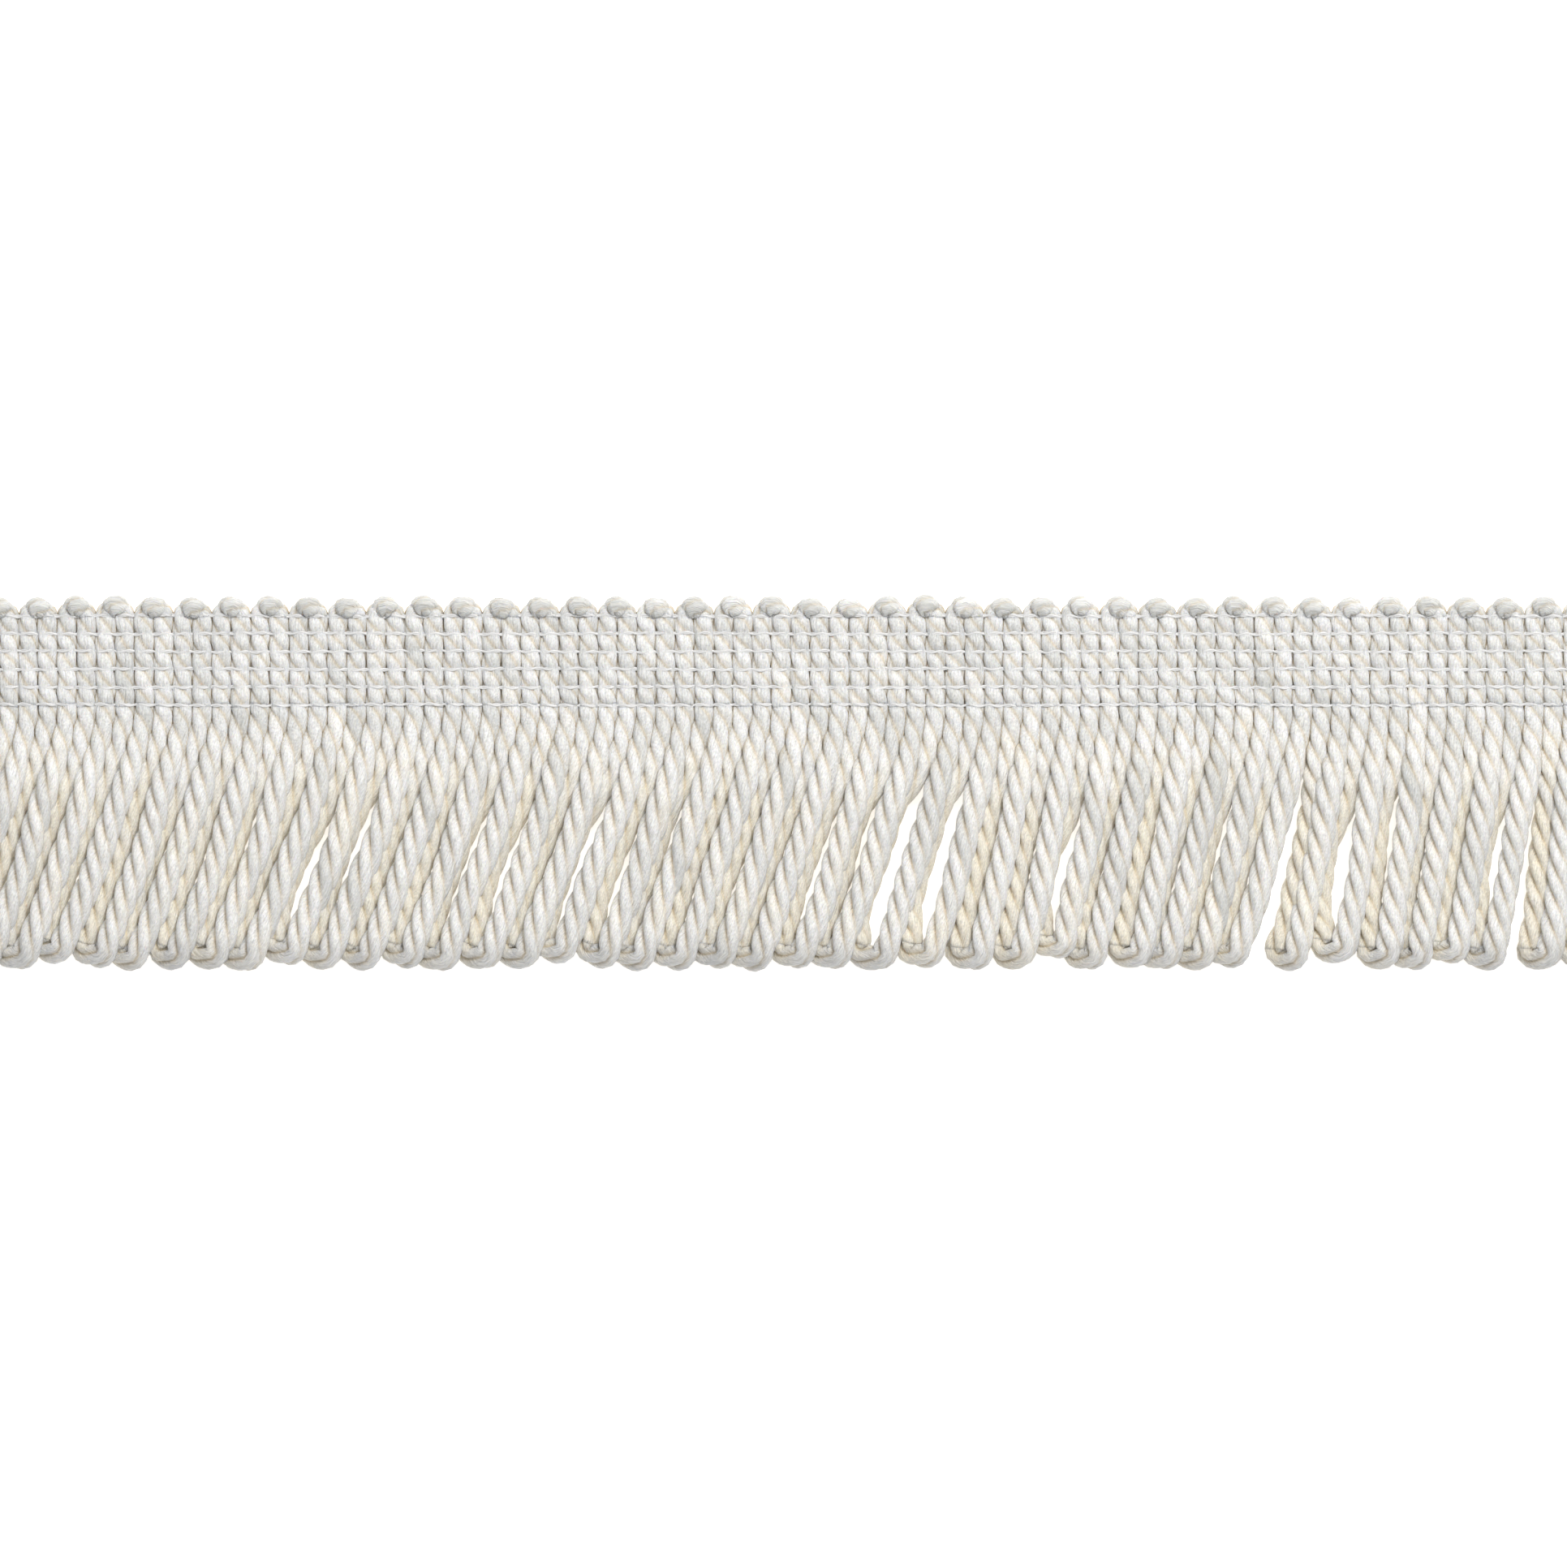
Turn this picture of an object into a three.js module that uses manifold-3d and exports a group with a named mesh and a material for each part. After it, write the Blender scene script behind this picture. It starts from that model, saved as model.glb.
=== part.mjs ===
// Fringe trim with a woven heading, a knobbed top edge and a skirt of leaning cord loops, lying face up.
// Millimetres. X runs along the trim, Y from the loops up to the knobs, Z up from the surface it lies on.

import * as THREE from "three";
import Module from "manifold-3d";

const wasm = await Module();
wasm.setup();

// Whole trim
const LOOPS = 43;
const COLUMN_PITCH = 1.945;
const LOOP_PITCH = 2 * COLUMN_PITCH;
const LENGTH = LOOPS * LOOP_PITCH;
const HEIGHT = 38;
const KNOB_HEIGHT = 2;
const WOVEN_HEIGHT = 9;
const TOP = HEIGHT / 2;
const BOTTOM = -HEIGHT / 2;
const KNOB_BASE = TOP - KNOB_HEIGHT;
const WOVEN_FOOT = KNOB_BASE - WOVEN_HEIGHT;

// Heading: one rib for each column of cord
const SELVEDGE = 0.25;
const HEADING_THICKNESS = 2.2;
const VALLEY_THICKNESS = 1.2;
const RIB_SHOULDER = 0.24;
const EDGE_ROUNDING = 0.45;
const KNOB_DIP = 0.4;
const KNOB_ROUNDNESS = 2.4;
const KNOB_SMOOTHNESS = 0.7;

// Skirt: loops of one cord, the front legs lying on the back legs
const PARTED = 0.3;
const STRIP_HEIGHT = 1.1;
const STRIP_THICKNESS = 1.9;
const STRAND_WIDTH = 2.1;
const STRAND_THICKNESS = 2.1;
const TURN_WIDTH = 1.75;
const ROOT_WIDTH = 1.5;
const ROOT_THICKNESS = 1.7;
const LAYER_GAP = 0.35;
const TUCK = 0.5;
const TUCK_KEPT_AT_TURN = 0.3;
const TUCK_FROM = 0.2;
const TUCK_FULL = 0.45;
const PARTING_EASE = 0.12;
const SWAY = 0.25;
const SWAY_PHASE = 2.46;
const LEAN_POWER = 1.22;
const USUALLY_SHORTER = 0.15;
const LAYERS_APART_BY = 0.22;
const FULL_WIDTH_BY = 0.4;
const DRAWN_IN_FROM = 0.72;
const DROP_STARTS = 0.15;
const DROP_ENDS = 0.7;
const LEG_DEPTHS = [0.11, 0.22, 0.38, 0.56, 0.74, 0.88, 1];
const TURN_STEPS = 5;

// How far the foot of a loop leans back along the trim
const LEAN = [
  { loop: 0, lean: 7.6 },
  { loop: 10, lean: 8.2 },
  { loop: 24, lean: 7.6 },
  { loop: 26, lean: 6.2 },
  { loop: 27, lean: 4.9 },
  { loop: 29, lean: 4.5 },
  { loop: 30, lean: 5.0 },
  { loop: 31, lean: 4.8 },
  { loop: 32, lean: 5.4 },
  { loop: 33, lean: 6.0 },
  { loop: 34, lean: 6.6 },
  { loop: 35, lean: 4.2 },
  { loop: 36, lean: 3.5 },
  { loop: 37, lean: 2.9 },
  { loop: 38, lean: 3.5 },
  { loop: 39, lean: 4.1 },
  { loop: 40, lean: 3.8 },
  { loop: 41, lean: 2.3 },
  { loop: 42, lean: 2.3 },
];

// Loops whose two legs have drifted apart, between two depths of the skirt
const PARTINGS = [
  { loop: 10, width: 0.8, from: 0.5, to: 0.95 },
  { loop: 11, width: 0.5, from: 0.3, to: 0.8 },
  { loop: 14, width: 0.4, from: 0.45, to: 0.9 },
  { loop: 15, width: 0.5, from: 0.5, to: 0.9 },
  { loop: 17, width: 0.65, from: 0.4, to: 0.95 },
  { loop: 18, width: 0.5, from: 0.5, to: 0.9 },
  { loop: 19, width: 0.4, from: 0.35, to: 0.65 },
  { loop: 23, width: 0.5, from: 0.35, to: 0.9 },
  { loop: 24, width: 0.8, from: 0.35, to: 0.65 },
  { loop: 25, width: 1.45, from: 0.3, to: 0.97 },
  { loop: 26, width: 1.5, from: 0.33, to: 0.95 },
  { loop: 29, width: 1.15, from: 0.55, to: 0.95 },
  { loop: 33, width: 0.4, from: 0.35, to: 0.7 },
  { loop: 35, width: 0.4, from: 0.3, to: 0.95 },
  { loop: 36, width: 1.3, from: 0.5, to: 0.95 },
  { loop: 37, width: 0.3, from: 0.3, to: 0.9 },
  { loop: 40, width: 0.8, from: 0.42, to: 0.75 },
  { loop: 41, width: -1.2, from: 0.3, to: 0.95 },
];

// Loops that hang shorter than the rest
const SHORT_LOOPS = [
  { loop: 4, by: 0.8 },
  { loop: 10, by: 0.6 },
  { loop: 17, by: 0.8 },
  { loop: 29, by: 1.2 },
  { loop: 36, by: 0.8 },
  { loop: 39, by: 0.7 },
];

const GOLDEN_ANGLE = Math.PI * (3 - Math.sqrt(5));

function smoothstep(low, high, value) {
  const part = Math.min(Math.max((value - low) / (high - low), 0), 1);
  return part * part * (3 - 2 * part);
}

function lean(loop) {
  const next = Math.max(LEAN.findIndex((row) => row.loop >= loop), 1);
  const [a, b] = [LEAN[next - 1], LEAN[next]];
  return a.lean + ((b.lean - a.lean) * (loop - a.loop)) / (b.loop - a.loop);
}

// How much the loops differ from each other, from -1 to 1, with no two neighbours alike
function uneven(loop, phase) {
  return Math.sin(GOLDEN_ANGLE * loop + phase);
}

// How far the back leg lies behind the loop before, added to the spacing of the columns
function tuck(loop, depth) {
  const kept = 1 - (1 - TUCK_KEPT_AT_TURN) * smoothstep(DRAWN_IN_FROM, 1, depth);
  let sum = TUCK * smoothstep(TUCK_FROM, TUCK_FULL, depth) * kept;
  for (const gap of PARTINGS.filter((row) => row.loop === loop)) {
    const open = smoothstep(gap.from - PARTING_EASE, gap.from + PARTING_EASE, depth);
    const shut = smoothstep(gap.to - PARTING_EASE, gap.to + PARTING_EASE, depth);
    sum += gap.width * open * (1 - shut);
  }
  return sum;
}

function frontX(loop, depth) {
  const middle = (loop + 0.5) * LOOP_PITCH - LENGTH / 2;
  const sway = SWAY * uneven(loop, SWAY_PHASE) * smoothstep(LAYERS_APART_BY, DRAWN_IN_FROM, depth);
  return middle + COLUMN_PITCH / 2 - lean(loop) * depth ** LEAN_POWER + sway;
}

function backX(loop, depth) {
  return frontX(loop, depth) - COLUMN_PITCH - tuck(loop, depth);
}

// Centre line of one loop: down the front leg, round the turn and up the back leg
function loopRings(loop) {
  const low = STRAND_THICKNESS / 2;
  const high = low + STRAND_THICKNESS + LAYER_GAP;
  const rootZ = STRIP_THICKNESS / 2;
  const rootY = WOVEN_FOOT - SELVEDGE - PARTED - STRIP_HEIGHT / 2;
  const right = frontX(loop, 1);
  const left = backX(loop, 1);
  const slant = Math.atan((lean(loop) * LEAN_POWER) / (rootY - BOTTOM));
  const radius = (right - left) / 2 / Math.cos(slant);
  const usual = USUALLY_SHORTER * (1 + uneven(loop, 2));
  const shorter = SHORT_LOOPS.find((row) => row.loop === loop)?.by ?? usual;
  const centreX = (left + right) / 2;
  const centreY = BOTTOM + shorter + radius + TURN_WIDTH / 2;

  function legRing(depth, x, endY, settledZ) {
    const settled = smoothstep(0, LAYERS_APART_BY, depth);
    const grown = smoothstep(LAYERS_APART_BY, FULL_WIDTH_BY, depth);
    const drawnIn = smoothstep(DRAWN_IN_FROM, 1, depth);
    const width = THREE.MathUtils.lerp(ROOT_WIDTH, STRAND_WIDTH, grown);
    return {
      x,
      y: THREE.MathUtils.lerp(rootY, endY, depth),
      z: THREE.MathUtils.lerp(rootZ, settledZ, settled),
      width: THREE.MathUtils.lerp(width, TURN_WIDTH, drawnIn),
      thickness: THREE.MathUtils.lerp(ROOT_THICKNESS, STRAND_THICKNESS, settled),
    };
  }

  const frontEnd = centreY - radius * Math.sin(slant);
  const backEnd = centreY + radius * Math.sin(slant);
  const rings = [legRing(0, frontX(loop, 0), frontEnd, high)];
  for (const depth of LEG_DEPTHS) {
    rings.push(legRing(depth, frontX(loop, depth), frontEnd, high));
  }
  for (let step = 1; step < TURN_STEPS; step += 1) {
    const along = step / TURN_STEPS;
    const angle = -slant - Math.PI * along;
    rings.push({
      x: centreX + radius * Math.cos(angle),
      y: centreY + radius * Math.sin(angle),
      z: THREE.MathUtils.lerp(high, low, smoothstep(DROP_STARTS, DROP_ENDS, along)),
      width: TURN_WIDTH,
      thickness: STRAND_THICKNESS,
    });
  }
  for (const depth of LEG_DEPTHS.toReversed()) {
    rings.push(legRing(depth, backX(loop, depth), backEnd, low));
  }
  rings.push(legRing(0, backX(loop, 0), backEnd, low));
  return rings;
}

// Four-sided strand through a list of rings, level above and below
function strandMesh(rings) {
  const positions = [];
  const triangles = [];
  rings.forEach((ring, index) => {
    const before = rings[Math.max(index - 1, 0)];
    const after = rings[Math.min(index + 1, rings.length - 1)];
    const along = new THREE.Vector2(after.x - before.x, after.y - before.y).normalize();
    const sideX = (along.y * ring.width) / 2;
    const sideY = (-along.x * ring.width) / 2;
    const top = ring.z + ring.thickness / 2;
    const base = ring.z - ring.thickness / 2;
    positions.push(ring.x + sideX, ring.y + sideY, base);
    positions.push(ring.x + sideX, ring.y + sideY, top);
    positions.push(ring.x - sideX, ring.y - sideY, top);
    positions.push(ring.x - sideX, ring.y - sideY, base);
    if (index > 0) {
      const start = 4 * (index - 1);
      for (let corner = 0; corner < 4; corner += 1) {
        const next = (corner + 1) % 4;
        triangles.push(start + corner, start + 4 + corner, start + 4 + next);
        triangles.push(start + corner, start + 4 + next, start + next);
      }
    }
  });
  const last = 4 * (rings.length - 1);
  triangles.push(0, 1, 2, 0, 2, 3);
  triangles.push(last, last + 2, last + 1, last, last + 3, last + 2);
  return { positions, triangles };
}

function toSolid({ positions, triangles }) {
  const mesh = new wasm.Mesh({
    numProp: 3,
    vertProperties: new Float32Array(positions),
    triVerts: new Uint32Array(triangles),
  });
  return new wasm.Manifold(mesh);
}

function toGeometry(vertices, triangles) {
  const geometry = new THREE.BufferGeometry();
  geometry.setAttribute("position", new THREE.Float32BufferAttribute(vertices, 3));
  geometry.setIndex(triangles);
  geometry.computeVertexNormals();
  return geometry;
}

function boxMesh(x0, x1, y0, y1, z0, z1) {
  const rings = [x0, x1].map((x) => ({
    x,
    y: (y0 + y1) / 2,
    z: (z0 + z1) / 2,
    width: y1 - y0,
    thickness: z1 - z0,
  }));
  return strandMesh(rings);
}

// Skirt: every loop fused at its two roots to one narrow strip under the heading
function makeSkirt() {
  const stripTop = WOVEN_FOOT - SELVEDGE - PARTED;
  const half = LENGTH / 2;
  const strip = boxMesh(-half, half, stripTop - STRIP_HEIGHT, stripTop, 0, STRIP_THICKNESS);
  let skirt = toSolid(strip);
  for (let loop = 0; loop < LOOPS; loop += 1) {
    skirt = skirt.add(toSolid(strandMesh(loopRings(loop))));
  }
  const joined = skirt.getMesh();
  return toGeometry(joined.vertProperties, Array.from(joined.triVerts));
}

// Rows of the heading from its lower edge to the rim of the knobs: how thick the rib is at each
const WOVEN_ROWS = [
  { above: -SELVEDGE, fullness: 0.62 },
  { above: -SELVEDGE + EDGE_ROUNDING, fullness: 1 },
  { above: WOVEN_HEIGHT - EDGE_ROUNDING, fullness: 1 },
  { above: WOVEN_HEIGHT, fullness: 0.8 },
];
const KNOB_ROWS = [
  { part: 0.45, fullness: 1 },
  { part: 0.85, fullness: 0.85 },
  { part: 1, fullness: 0.5 },
];

// Height of the knobbed edge over the woven band: one round knob for each two columns of neighbouring loops
function knobEdge(columns) {
  const across = Math.abs((columns % 2) - 1);
  const arch = Math.sqrt(1 - across ** KNOB_ROUNDNESS);
  return KNOB_DIP + (KNOB_HEIGHT - KNOB_DIP) * arch;
}

// Heading: ribs and knobs raised on the face, flat underneath
function makeHeading() {
  const stations = [];
  for (let column = 0; column < 2 * LOOPS; column += 1) {
    stations.push({ at: column, rib: VALLEY_THICKNESS });
    stations.push({ at: column + RIB_SHOULDER, rib: HEADING_THICKNESS });
    stations.push({ at: column + 1 - RIB_SHOULDER, rib: HEADING_THICKNESS });
  }
  stations.push({ at: 2 * LOOPS, rib: VALLEY_THICKNESS });

  const positions = [];
  const rows = WOVEN_ROWS.length + KNOB_ROWS.length;
  for (const { at, rib } of stations) {
    const x = at * COLUMN_PITCH - LENGTH / 2;
    const edge = knobEdge(at + 1);
    for (const row of WOVEN_ROWS) {
      positions.push(x, WOVEN_FOOT + row.above, rib * row.fullness);
    }
    for (const row of KNOB_ROWS) {
      const knob = THREE.MathUtils.lerp(rib, HEADING_THICKNESS, KNOB_SMOOTHNESS);
      positions.push(x, KNOB_BASE + edge * row.part, knob * row.fullness);
    }
    positions.push(x, WOVEN_FOOT - SELVEDGE, 0);
    positions.push(x, KNOB_BASE + edge, 0);
  }

  const size = rows + 2;
  const under = rows;
  const ring = [under, ...Array.from({ length: rows }, (_, row) => row), under + 1];
  const triangles = [];
  for (let station = 0; station < stations.length - 1; station += 1) {
    const here = station * size;
    const there = here + size;
    for (let index = 0; index < ring.length; index += 1) {
      const a = ring[index];
      const b = ring[(index + 1) % ring.length];
      triangles.push(here + a, there + a, there + b);
      triangles.push(here + a, there + b, here + b);
    }
  }
  const last = (stations.length - 1) * size;
  for (const [start, flip] of [[0, false], [last, true]]) {
    const outline = ring.map((index) => {
      const place = 3 * (start + index);
      return new THREE.Vector2(positions[place + 1], positions[place + 2]);
    });
    for (const [a, b, c] of THREE.ShapeUtils.triangulateShape(outline, [])) {
      const corners = [a, b, c].map((corner) => start + ring[corner]);
      const clockwise = THREE.ShapeUtils.area([outline[a], outline[b], outline[c]]) < 0;
      triangles.push(...(clockwise === flip ? corners.toReversed() : corners));
    }
  }
  return toGeometry(positions, triangles);
}

const cordColour = new THREE.MeshStandardMaterial({ color: 0xdedcd6, roughness: 0.55, metalness: 0 });

function named(name, geometry) {
  const mesh = new THREE.Mesh(geometry, cordColour.clone());
  mesh.name = name;
  return mesh;
}

const trim = new THREE.Group();
trim.add(named("heading", makeHeading()));
trim.add(named("loop_fringe", makeSkirt()));

// The origin is under the middle of the whole trim
const box = new THREE.Box3().setFromObject(trim);
const middle = box.getCenter(new THREE.Vector3());
trim.position.set(-middle.x, -middle.y, -box.min.z);

export default trim;
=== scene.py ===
# %% [markdown]
# A looped cord fringe.
#
# The real trim is one silky cord of four plies. It is laid up and down, held in a heading by six rows
# of fine thread, and left as long loops below. It lies face up on a pale table and is seen from
# straight above. Everything here follows that one cord, so the lesson is mostly about making a path,
# twisting four plies round it, and giving the plies a silk finish.
#
# Lengths are in millimetres, and MM turns them into Blender's metres where a mesh is made. X runs
# along the trim, Y from the loops up to the knobs, and Z up from the table.

# %% The frame
import math

import bpy
import numpy as np
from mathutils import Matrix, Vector


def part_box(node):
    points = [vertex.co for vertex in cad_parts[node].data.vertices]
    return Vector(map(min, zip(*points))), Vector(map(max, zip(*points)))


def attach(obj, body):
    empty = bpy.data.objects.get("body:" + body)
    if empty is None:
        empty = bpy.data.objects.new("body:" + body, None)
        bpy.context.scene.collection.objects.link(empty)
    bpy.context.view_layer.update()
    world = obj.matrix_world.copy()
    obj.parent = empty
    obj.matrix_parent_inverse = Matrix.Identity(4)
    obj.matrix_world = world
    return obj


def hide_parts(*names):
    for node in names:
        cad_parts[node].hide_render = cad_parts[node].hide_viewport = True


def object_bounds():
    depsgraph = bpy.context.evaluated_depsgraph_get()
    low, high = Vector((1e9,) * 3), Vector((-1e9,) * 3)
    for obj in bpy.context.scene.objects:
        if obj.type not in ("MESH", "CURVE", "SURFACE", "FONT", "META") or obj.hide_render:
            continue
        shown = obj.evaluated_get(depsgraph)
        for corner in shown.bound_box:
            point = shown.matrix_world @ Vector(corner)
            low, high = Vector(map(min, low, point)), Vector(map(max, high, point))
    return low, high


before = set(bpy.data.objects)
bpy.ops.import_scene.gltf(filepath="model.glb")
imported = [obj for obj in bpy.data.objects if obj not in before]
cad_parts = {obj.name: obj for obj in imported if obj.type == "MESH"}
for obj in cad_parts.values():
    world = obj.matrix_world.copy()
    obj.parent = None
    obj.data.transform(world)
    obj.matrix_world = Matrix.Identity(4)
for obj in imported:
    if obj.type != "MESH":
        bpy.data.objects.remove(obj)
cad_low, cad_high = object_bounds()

MM = 0.001
box_mm = [round(value / MM, 2) for value in (*cad_low, *cad_high)]
print("solids:", sorted(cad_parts), "box", box_mm)

# %% [markdown]
# The camera looks straight down. A wide lens would show the sides of the cords at the two ends of the
# trim, and an orthographic camera can't be moved round the object as easily, so this one is a very
# long lens far away. The picture shows 157.8 mm of the trim, which runs out of the frame on both sides.

# %% The camera
PHOTO_WIDTH = 1931
PHOTO_HEIGHT = 1932
PIXEL = 0.0817
LENS = 400
SENSOR = 36
FACE_LEVEL = 3.0
HEADING_MIDDLE_IN_PHOTO = 974.5
FARTHEST_SEEN = 20

heading_low, heading_high = (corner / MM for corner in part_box("heading"))
middle_x = (heading_low.x + heading_high.x) / 2
view_x = middle_x + (PHOTO_WIDTH / 2 - HEADING_MIDDLE_IN_PHOTO) * PIXEL
view_height = FACE_LEVEL + PHOTO_HEIGHT * PIXEL * LENS / SENSOR

camera_data = bpy.data.cameras.new("camera")
camera_data.lens = LENS
camera_data.sensor_width = SENSOR
camera_data.clip_end = FARTHEST_SEEN
camera = bpy.data.objects.new("camera", camera_data)
camera.location = Vector((view_x, 0, view_height)) * MM
bpy.context.collection.objects.link(camera)
bpy.context.scene.camera = camera
print("camera", round(view_height), "mm above the table, over x =", round(view_x, 2), "mm")

# %% [markdown]
# The light is a pale room that shines from everywhere, with one broad lamp from the upper right. The
# room alone would leave the cords flat, and a small lamp alone would throw hard shadows between them.
# The table shines a little by itself, as the lit white sheet under a small product does, so that the
# gaps between the loops stay white.

# %% The light and the table
ROOM_COLOUR = (0.985, 0.99, 1.0, 1)
ROOM_STRENGTH = 0.595
LAMP_COLOUR = (1.0, 0.985, 0.96)
LAMP_POWER = 6.25
LAMP_SIDE = 420
LAMP_PLACE = (300, 480, 770)
TABLE_SIDE = 4000
TABLE_COLOUR = (0.93, 0.93, 0.93, 1)
TABLE_ROUGHNESS = 0.9
TABLE_GLOW = 0.55

bpy.context.scene.view_settings.view_transform = "Standard"
world = bpy.data.worlds.new("pale_room")
world.use_nodes = True
world.node_tree.nodes["Background"].inputs["Color"].default_value = ROOM_COLOUR
world.node_tree.nodes["Background"].inputs["Strength"].default_value = ROOM_STRENGTH
bpy.context.scene.world = world

lamp_data = bpy.data.lights.new("broad_lamp", "AREA")
lamp_data.energy = LAMP_POWER
lamp_data.size = LAMP_SIDE * MM
lamp_data.color = LAMP_COLOUR
lamp = bpy.data.objects.new("broad_lamp", lamp_data)
lamp.location = Vector(LAMP_PLACE) * MM
lamp.rotation_euler = (-Vector(LAMP_PLACE)).to_track_quat("-Z", "Y").to_euler()
bpy.context.collection.objects.link(lamp)

half = TABLE_SIDE / 2 * MM
table_mesh = bpy.data.meshes.new("table")
corners = [(-half, -half, 0), (half, -half, 0), (half, half, 0), (-half, half, 0)]
table_mesh.from_pydata(corners, [], [(0, 1, 2, 3)])
table = bpy.data.objects.new("table", table_mesh)
bpy.context.collection.objects.link(table)
paper = bpy.data.materials.new("white_sheet")
paper.use_nodes = True
paper_shader = paper.node_tree.nodes["Principled BSDF"]
paper_shader.inputs["Base Color"].default_value = TABLE_COLOUR
paper_shader.inputs["Roughness"].default_value = TABLE_ROUGHNESS
paper_shader.inputs["Emission Color"].default_value = (1, 1, 1, 1)
paper_shader.inputs["Emission Strength"].default_value = TABLE_GLOW
table_mesh.materials.append(paper)
print("lamp at", LAMP_PLACE, "mm; table", TABLE_SIDE, "mm wide")

# %% [markdown]
# The trim's own sizes. The heading is 86 columns of cord side by side, two for each of the 43 loops:
# the left column of a loop carries its back leg and the right column its front leg. The loops lean
# back along the trim, more at the left end than at the right, and some have drifted open. Short
# tables list these, and a sine at the golden angle gives each loop its own small difference without
# any random numbers.

# %% Sizes of the trim
LOOPS = 43
COLUMN_PITCH = (heading_high.x - heading_low.x) / (2 * LOOPS)
LOOP_PITCH = 2 * COLUMN_PITCH
TOP = heading_high.y
BOTTOM = cad_low.y / MM
KNOB_HEIGHT = 2.0
KNOB_BASE = TOP - KNOB_HEIGHT
ROOT_BELOW_HEADING = 0.85
ROOT_Y = heading_low.y - ROOT_BELOW_HEADING

LEAN = [
    {"loop": 0, "lean": 7.6},
    {"loop": 10, "lean": 8.2},
    {"loop": 24, "lean": 7.6},
    {"loop": 26, "lean": 6.2},
    {"loop": 27, "lean": 4.9},
    {"loop": 29, "lean": 4.5},
    {"loop": 30, "lean": 5.0},
    {"loop": 31, "lean": 4.8},
    {"loop": 32, "lean": 5.4},
    {"loop": 33, "lean": 6.0},
    {"loop": 34, "lean": 6.6},
    {"loop": 35, "lean": 4.2},
    {"loop": 36, "lean": 3.5},
    {"loop": 37, "lean": 2.9},
    {"loop": 38, "lean": 3.5},
    {"loop": 39, "lean": 4.1},
    {"loop": 40, "lean": 3.8},
    {"loop": 41, "lean": 2.3},
    {"loop": 42, "lean": 2.3},
]
PARTINGS = [
    {"loop": 10, "width": 0.8, "from": 0.5, "to": 0.95},
    {"loop": 11, "width": 0.5, "from": 0.3, "to": 0.8},
    {"loop": 14, "width": 0.4, "from": 0.45, "to": 0.9},
    {"loop": 15, "width": 0.5, "from": 0.5, "to": 0.9},
    {"loop": 17, "width": 0.65, "from": 0.4, "to": 0.95},
    {"loop": 18, "width": 0.5, "from": 0.5, "to": 0.9},
    {"loop": 19, "width": 0.4, "from": 0.35, "to": 0.65},
    {"loop": 23, "width": 0.5, "from": 0.35, "to": 0.9},
    {"loop": 24, "width": 0.8, "from": 0.35, "to": 0.65},
    {"loop": 25, "width": 1.45, "from": 0.3, "to": 0.97},
    {"loop": 26, "width": 1.3, "from": 0.33, "to": 0.95},
    {"loop": 29, "width": 1.15, "from": 0.55, "to": 0.95},
    {"loop": 33, "width": 0.4, "from": 0.35, "to": 0.7},
    {"loop": 35, "width": -1.1, "from": 0.3, "to": 0.95},
    {"loop": 36, "width": 1.3, "from": 0.5, "to": 0.95},
    {"loop": 37, "width": 0.3, "from": 0.3, "to": 0.9},
    {"loop": 40, "width": 0.8, "from": 0.42, "to": 0.75},
    {"loop": 41, "width": -0.5, "from": 0.3, "to": 0.95},
]
SHORT_LOOPS = {4: 0.8, 10: 0.6, 17: 0.8, 29: 1.2, 36: 0.8, 39: 0.7}
GOLDEN_ANGLE = math.pi * (3 - math.sqrt(5))


def smoothstep(low, high, value):
    part = np.clip((value - low) / (high - low), 0, 1)
    return part * part * (3 - 2 * part)


def lerp(a, b, part):
    return a + (b - a) * part


def lean(loop):
    return np.interp(loop, [row["loop"] for row in LEAN], [row["lean"] for row in LEAN])


def uneven(number, phase):
    return math.sin(GOLDEN_ANGLE * number + phase)


print("column", round(COLUMN_PITCH, 3), "mm; skirt from", ROOT_Y, "to", round(BOTTOM, 2), "mm")

# %% [markdown]
# Where the cord goes. It could be drawn loop by loop with curve objects, but one list of points for
# the whole trim is easier to twist evenly. So each stretch is a small array of points, and they are
# strung together: down the back leg of a loop, round its turn, up the front leg, up the heading, over
# a knob, and down the heading to the next loop.
#
# Each row of such an array has six columns: the place (x, y, z), how hard the neighbours press the
# cord there (1 in the heading, 0 where it is free), how creamy it looks, and how full it is. The back
# legs are painted creamier than the front ones, as warm shade for the lower layer, and below zero the
# cream turns into the painted grey shade of the knobs.

# %% Where the two legs of a loop go
HEADING_LEVEL = 1.1
TUCK = 0.5
TUCK_KEPT_AT_TURN = 0.3
TUCK_FROM = 0.2
TUCK_FULL = 0.45
DRAWN_IN_FROM = 0.72
PARTING_EASE = 0.12
SWAY = 0.25
SWAY_PHASE = 2.46
SWAY_FROM = 0.22
LEAN_POWER = 1.22


def tuck(loop, depth):
    kept = 1 - (1 - TUCK_KEPT_AT_TURN) * smoothstep(DRAWN_IN_FROM, 1, depth)
    total = TUCK * smoothstep(TUCK_FROM, TUCK_FULL, depth) * kept
    for gap in (row for row in PARTINGS if row["loop"] == loop):
        opened = smoothstep(gap["from"] - PARTING_EASE, gap["from"] + PARTING_EASE, depth)
        shut = smoothstep(gap["to"] - PARTING_EASE, gap["to"] + PARTING_EASE, depth)
        total = total + gap["width"] * opened * (1 - shut)
    return total


def front_x(loop, depth):
    middle = heading_low.x + (loop + 0.5) * LOOP_PITCH
    sway = SWAY * uneven(loop, SWAY_PHASE) * smoothstep(SWAY_FROM, DRAWN_IN_FROM, depth)
    return middle + COLUMN_PITCH / 2 - lean(loop) * depth**LEAN_POWER + sway


def back_x(loop, depth):
    return front_x(loop, depth) - COLUMN_PITCH - tuck(loop, depth)


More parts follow.
